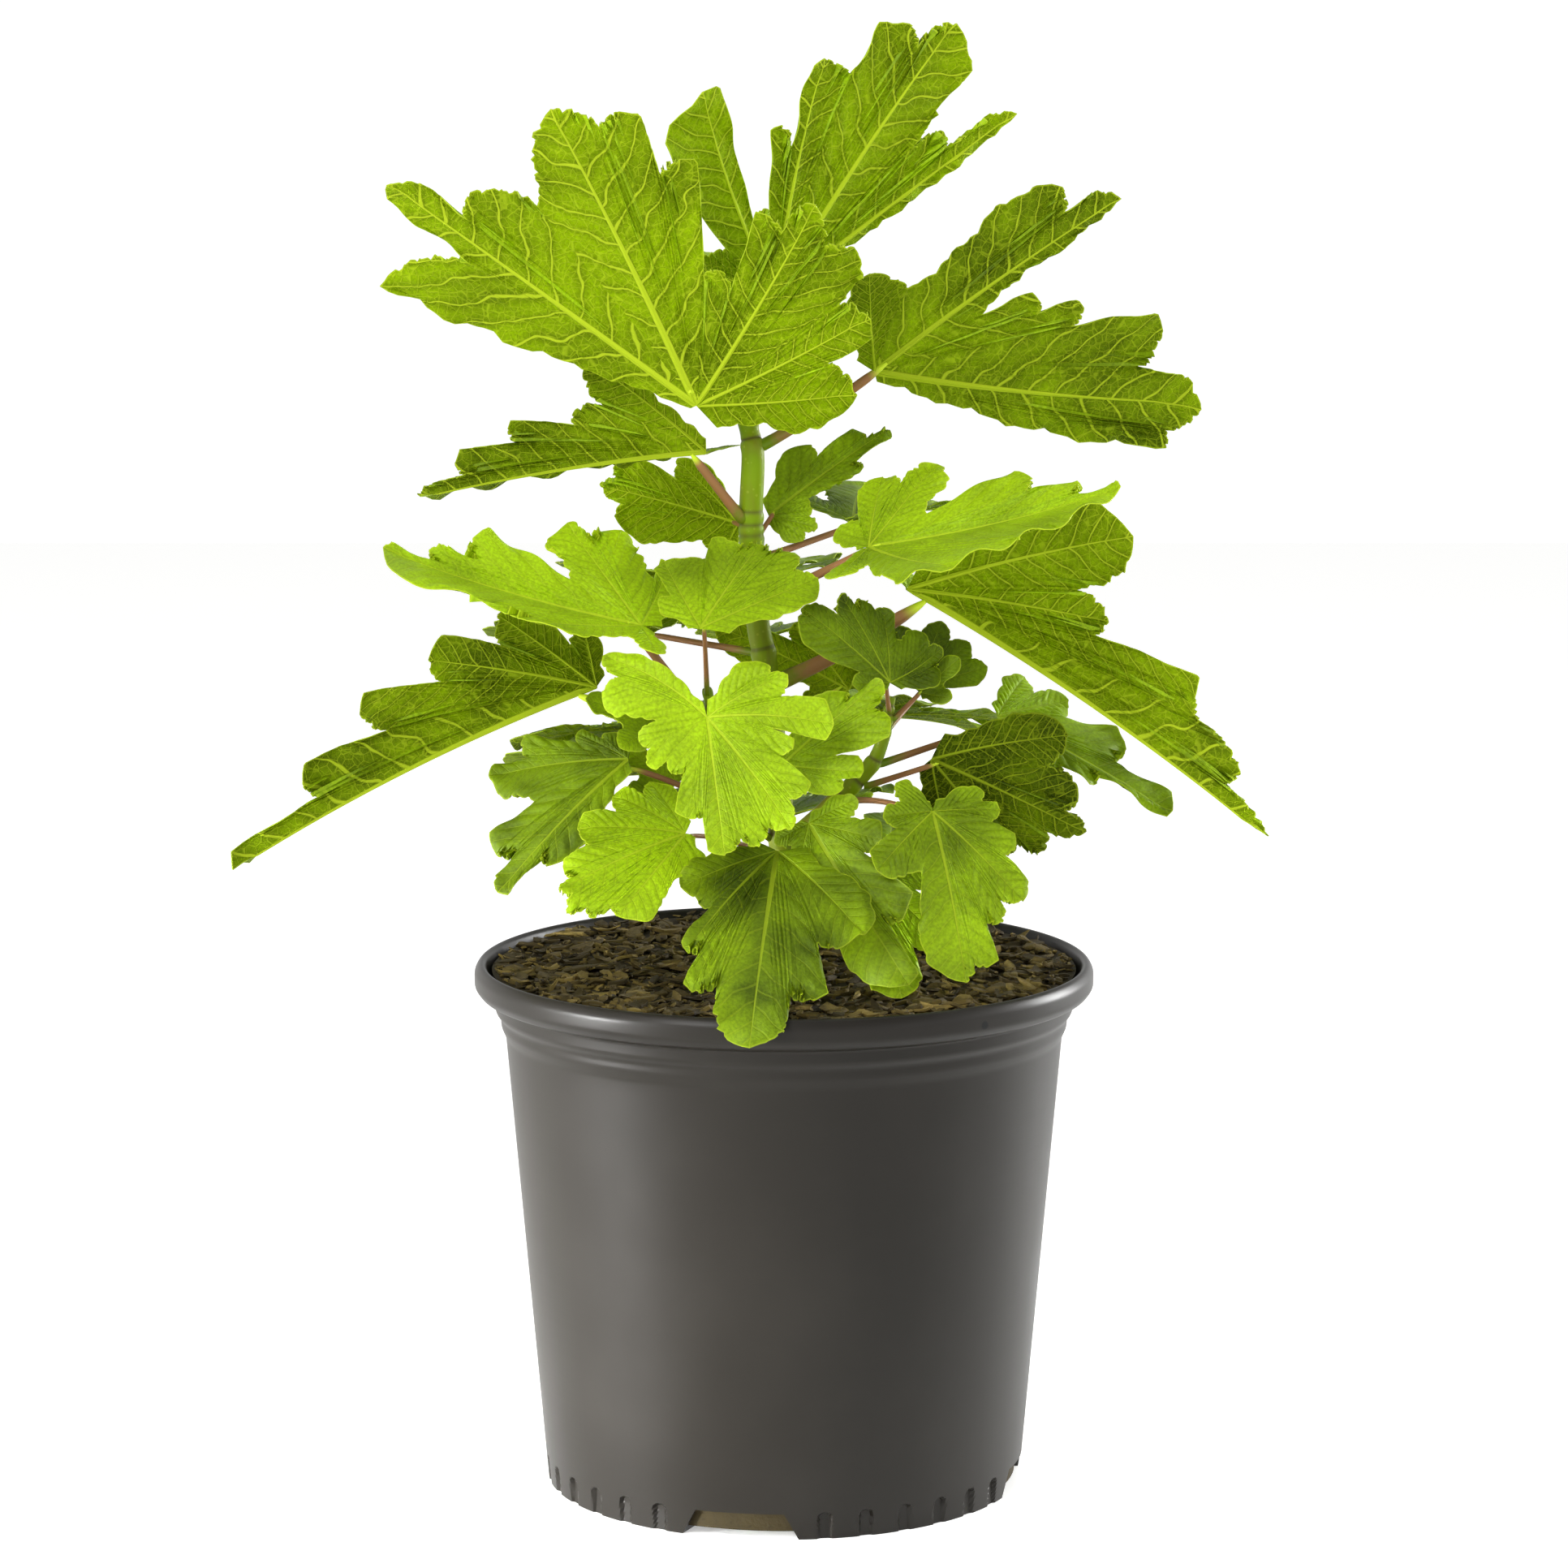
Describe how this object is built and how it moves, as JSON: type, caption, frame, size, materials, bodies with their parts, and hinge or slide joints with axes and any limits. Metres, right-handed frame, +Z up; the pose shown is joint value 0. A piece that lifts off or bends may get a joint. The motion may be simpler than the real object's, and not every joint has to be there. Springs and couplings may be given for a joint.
{
  "type": "potted fig tree",
  "caption": "Young fig tree with large lobed leaves on a slim green stem, growing in a round dark grey nursery pot filled with bark mix.",
  "frame": {"origin": "centre of the pot's flat underside, on the ground", "axes": "+Z up along the stem; -Y towards the front, the side that the picture shows"},
  "size_m": [0.466, 0.3365, 0.6692],
  "materials": {
    "pot": "satin moulded polyethylene",
    "soil": "rough moist bark chips",
    "stem": "smooth green bark",
    "leaf": "slightly rough leaf"
  },
  "bodies": {
    "root": {"pot": "pot", "soil": "soil", "back_shoot": "stem", "left_shoot": "stem", "right_shoot": "stem", "trunk": "stem", "leaf_behind_left": "leaf", "leaf_behind_right": "leaf", "leaf_behind_stem": "leaf", "leaf_bud_right": "leaf", "leaf_centre": "leaf", "leaf_centre_right": "leaf", "leaf_centre_upper_right": "leaf", "leaf_dark_left": "leaf", "leaf_dark_right": "leaf", "leaf_far_left": "leaf", "leaf_far_low": "leaf", "leaf_far_low_left": "leaf", "leaf_far_low_right": "leaf", "leaf_far_middle": "leaf", "leaf_far_right": "leaf", "leaf_far_shoot": "leaf", "leaf_far_shoot_left": "leaf", "leaf_far_shoot_right": "leaf", "leaf_far_top": "leaf", "leaf_far_upper": "leaf", "leaf_low_centre": "leaf", "leaf_low_front": "leaf", "leaf_low_front_left": "leaf", "leaf_low_front_right": "leaf", "leaf_low_left": "leaf", "leaf_low_right": "leaf", "leaf_lower_left": "leaf", "leaf_lower_right": "leaf", "leaf_middle_front": "leaf", "leaf_middle_left": "leaf", "leaf_middle_right": "leaf", "leaf_over_rim": "leaf", "leaf_right": "leaf", "leaf_small_left": "leaf", "leaf_top_back": "leaf", "leaf_top_front": "leaf", "leaf_upper_left": "leaf", "leaf_upper_right": "leaf"}
  },
  "joints": []
}
